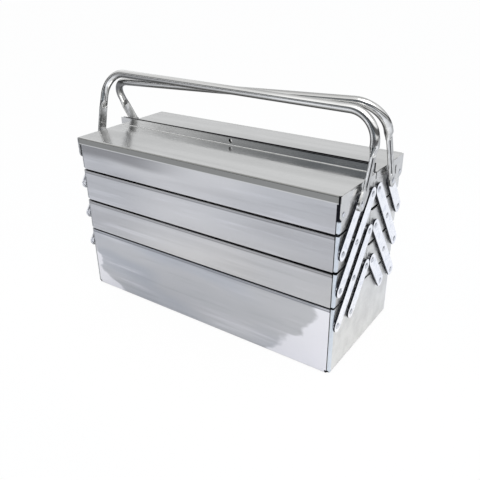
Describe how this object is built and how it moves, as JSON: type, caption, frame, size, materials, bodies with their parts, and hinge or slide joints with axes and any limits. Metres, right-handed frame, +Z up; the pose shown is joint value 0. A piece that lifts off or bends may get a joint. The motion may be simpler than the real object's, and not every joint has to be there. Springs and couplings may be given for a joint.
{
  "type": "cantilever tool box",
  "caption": "Sheet steel tool box with two stacks of trays that spread outwards on flat bars when the twin tube handles are parted, each stack under its own hinged lid.",
  "frame": {"origin": "middle of the base's underside", "axes": "+X along the box to its right end, +Y from the front to the rear, +Z up"},
  "size_m": [0.5006, 0.206, 0.3699],
  "materials": {
    "base_sheet": "polished stainless sheet",
    "tray_sheet": "polished stainless sheet",
    "end_sheet": "polished stainless sheet",
    "lid_sheet": "polished stainless sheet",
    "bar_steel": "bright zinc plated flat bar",
    "handle_tube": "bright chrome plated tube",
    "rivet_steel": "bright zinc plated"
  },
  "bodies": {
    "base": {"base_shell": "base_sheet", "base_end_left": "end_sheet", "base_end_right": "end_sheet", "base_rivets": "rivet_steel", "base_spacers": "rivet_steel"},
    "front_lower_tray_set": {"front_lower_tray": "tray_sheet", "front_lower_tray_end_left": "end_sheet", "front_lower_tray_end_right": "end_sheet", "front_lower_tray_rivets": "rivet_steel", "front_lower_tray_spacers": "rivet_steel"},
    "front_middle_tray_set": {"front_middle_tray": "tray_sheet", "front_middle_tray_end_left": "end_sheet", "front_middle_tray_end_right": "end_sheet", "front_middle_tray_rivets": "rivet_steel", "front_middle_tray_spacers": "rivet_steel"},
    "front_upper_tray_set": {"front_upper_tray": "tray_sheet", "front_upper_tray_end_left": "end_sheet", "front_upper_tray_end_right": "end_sheet", "front_upper_tray_rivets": "rivet_steel", "front_upper_tray_spacers": "rivet_steel", "front_lid_pins": "rivet_steel"},
    "front_lower_bars": {"front_left_lower_bar": "bar_steel", "front_right_lower_bar": "bar_steel"},
    "front_upper_bars": {"front_left_upper_bar": "bar_steel", "front_right_upper_bar": "bar_steel"},
    "front_foot_bars": {"front_left_foot_bar": "bar_steel", "front_right_foot_bar": "bar_steel"},
    "front_lever_set": {"front_left_lever_bar": "bar_steel", "front_right_lever_bar": "bar_steel", "front_handle": "handle_tube"},
    "front_lid_set": {"front_lid": "lid_sheet"},
    "rear_lower_tray_set": {"rear_lower_tray": "tray_sheet", "rear_lower_tray_end_left": "end_sheet", "rear_lower_tray_end_right": "end_sheet", "rear_lower_tray_rivets": "rivet_steel", "rear_lower_tray_spacers": "rivet_steel"},
    "rear_middle_tray_set": {"rear_middle_tray": "tray_sheet", "rear_middle_tray_end_left": "end_sheet", "rear_middle_tray_end_right": "end_sheet", "rear_middle_tray_rivets": "rivet_steel", "rear_middle_tray_spacers": "rivet_steel"},
    "rear_upper_tray_set": {"rear_upper_tray": "tray_sheet", "rear_upper_tray_end_left": "end_sheet", "rear_upper_tray_end_right": "end_sheet", "rear_upper_tray_rivets": "rivet_steel", "rear_upper_tray_spacers": "rivet_steel", "rear_lid_pins": "rivet_steel"},
    "rear_lower_bars": {"rear_left_lower_bar": "bar_steel", "rear_right_lower_bar": "bar_steel"},
    "rear_upper_bars": {"rear_left_upper_bar": "bar_steel", "rear_right_upper_bar": "bar_steel"},
    "rear_foot_bars": {"rear_left_foot_bar": "bar_steel", "rear_right_foot_bar": "bar_steel"},
    "rear_lever_set": {"rear_left_lever_bar": "bar_steel", "rear_right_lever_bar": "bar_steel", "rear_handle": "handle_tube"},
    "rear_lid_set": {"rear_lid": "lid_sheet"}
  },
  "joints": [
    {"name": "front_open", "type": "hinge", "parent": "base", "child": "front_lower_bars", "pos_m": [0, -0.0935, 0.0815], "axis": [1, 0, 0], "range_deg": [0, 74.5]},
    {"name": "front_lower_tray_pivot", "type": "hinge", "parent": "front_lower_bars", "child": "front_lower_tray_set", "pos_m": [0, -0.052, 0.136], "axis": [1, 0, 0], "range_deg": [-74.5, 0]},
    {"name": "front_middle_tray_pivot", "type": "hinge", "parent": "front_lower_bars", "child": "front_middle_tray_set", "pos_m": [0, -0.0105, 0.1905], "axis": [1, 0, 0], "range_deg": [-74.5, 0]},
    {"name": "front_upper_bar_pivot", "type": "hinge", "parent": "front_lower_tray_set", "child": "front_upper_bars", "pos_m": [0, -0.0935, 0.136], "axis": [1, 0, 0], "range_deg": [0, 74.5]},
    {"name": "front_upper_tray_pivot", "type": "hinge", "parent": "front_upper_bars", "child": "front_upper_tray_set", "pos_m": [0, -0.0105, 0.245], "axis": [1, 0, 0], "range_deg": [-74.5, 0]},
    {"name": "front_lever_pivot", "type": "hinge", "parent": "front_middle_tray_set", "child": "front_lever_set", "pos_m": [0, -0.0935, 0.1905], "axis": [1, 0, 0], "range_deg": [0, 74.5]},
    {"name": "front_foot_bar_pivot", "type": "hinge", "parent": "base", "child": "front_foot_bars", "pos_m": [0, -0.052, 0.0815], "axis": [1, 0, 0], "range_deg": [0, 74.5]},
    {"name": "front_lid_hinge", "type": "hinge", "parent": "front_upper_tray_set", "child": "front_lid_set", "pos_m": [0, -0.0935, 0.245], "axis": [1, 0, 0], "range_deg": [0, 85]},
    {"name": "rear_open", "type": "hinge", "parent": "base", "child": "rear_lower_bars", "pos_m": [0, 0.0935, 0.0815], "axis": [-1, 0, 0], "range_deg": [0, 74.5]},
    {"name": "rear_lower_tray_pivot", "type": "hinge", "parent": "rear_lower_bars", "child": "rear_lower_tray_set", "pos_m": [0, 0.052, 0.136], "axis": [-1, 0, 0], "range_deg": [-74.5, 0]},
    {"name": "rear_middle_tray_pivot", "type": "hinge", "parent": "rear_lower_bars", "child": "rear_middle_tray_set", "pos_m": [0, 0.0105, 0.1905], "axis": [-1, 0, 0], "range_deg": [-74.5, 0]},
    {"name": "rear_upper_bar_pivot", "type": "hinge", "parent": "rear_lower_tray_set", "child": "rear_upper_bars", "pos_m": [0, 0.0935, 0.136], "axis": [-1, 0, 0], "range_deg": [0, 74.5]},
    {"name": "rear_upper_tray_pivot", "type": "hinge", "parent": "rear_upper_bars", "child": "rear_upper_tray_set", "pos_m": [0, 0.0105, 0.245], "axis": [-1, 0, 0], "range_deg": [-74.5, 0]},
    {"name": "rear_lever_pivot", "type": "hinge", "parent": "rear_middle_tray_set", "child": "rear_lever_set", "pos_m": [0, 0.0935, 0.1905], "axis": [-1, 0, 0], "range_deg": [0, 74.5]},
    {"name": "rear_foot_bar_pivot", "type": "hinge", "parent": "base", "child": "rear_foot_bars", "pos_m": [0, 0.052, 0.0815], "axis": [-1, 0, 0], "range_deg": [0, 74.5]},
    {"name": "rear_lid_hinge", "type": "hinge", "parent": "rear_upper_tray_set", "child": "rear_lid_set", "pos_m": [0, 0.0935, 0.245], "axis": [-1, 0, 0], "range_deg": [0, 85]}
  ],
  "couplings": [
    {"joint": "front_lower_tray_pivot", "follows": "front_open", "ratio": -1},
    {"joint": "front_middle_tray_pivot", "follows": "front_open", "ratio": -1},
    {"joint": "front_upper_bar_pivot", "follows": "front_open", "ratio": 1},
    {"joint": "front_upper_tray_pivot", "follows": "front_open", "ratio": -1},
    {"joint": "front_lever_pivot", "follows": "front_open", "ratio": 1},
    {"joint": "front_foot_bar_pivot", "follows": "front_open", "ratio": 1},
    {"joint": "rear_lower_tray_pivot", "follows": "rear_open", "ratio": -1},
    {"joint": "rear_middle_tray_pivot", "follows": "rear_open", "ratio": -1},
    {"joint": "rear_upper_bar_pivot", "follows": "rear_open", "ratio": 1},
    {"joint": "rear_upper_tray_pivot", "follows": "rear_open", "ratio": -1},
    {"joint": "rear_lever_pivot", "follows": "rear_open", "ratio": 1},
    {"joint": "rear_foot_bar_pivot", "follows": "rear_open", "ratio": 1}
  ]
}
